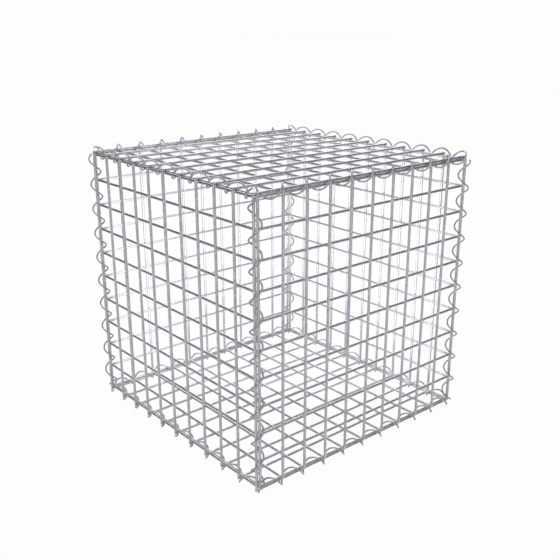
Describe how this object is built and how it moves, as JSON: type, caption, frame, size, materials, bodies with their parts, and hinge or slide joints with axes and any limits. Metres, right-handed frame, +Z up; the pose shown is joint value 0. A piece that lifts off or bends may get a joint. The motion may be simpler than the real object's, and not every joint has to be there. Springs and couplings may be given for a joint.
{
  "type": "welded mesh gabion basket",
  "caption": "Empty cube-shaped gabion basket of welded wire mesh panels, laced along every edge by spiral wire binders, to be filled with stone as one block of a retaining wall.",
  "frame": {"origin": "centre of the basket in plan, at the ground under the lowest turns of the base spirals", "axes": "+Z up, -Y out of the front panel, +X out of the right panel"},
  "size_m": [0.5314, 0.5318, 0.5291],
  "materials": {
    "mesh_wire": "hot-dip galvanised drawn steel wire, matt zinc grey",
    "spiral_wire": "galvanised spring wire, slightly brighter zinc grey"
  },
  "bodies": {
    "root": {"front_panel": "mesh_wire", "right_panel": "mesh_wire", "back_panel": "mesh_wire", "left_panel": "mesh_wire", "lid_panel": "mesh_wire", "base_panel": "mesh_wire", "front_right_spiral": "spiral_wire", "front_left_spiral": "spiral_wire", "back_right_spiral": "spiral_wire", "back_left_spiral": "spiral_wire", "lid_front_spiral": "spiral_wire", "lid_right_spiral": "spiral_wire", "lid_back_spiral": "spiral_wire", "lid_left_spiral": "spiral_wire", "base_front_spiral": "spiral_wire", "base_right_spiral": "spiral_wire", "base_back_spiral": "spiral_wire", "base_left_spiral": "spiral_wire"}
  },
  "joints": []
}
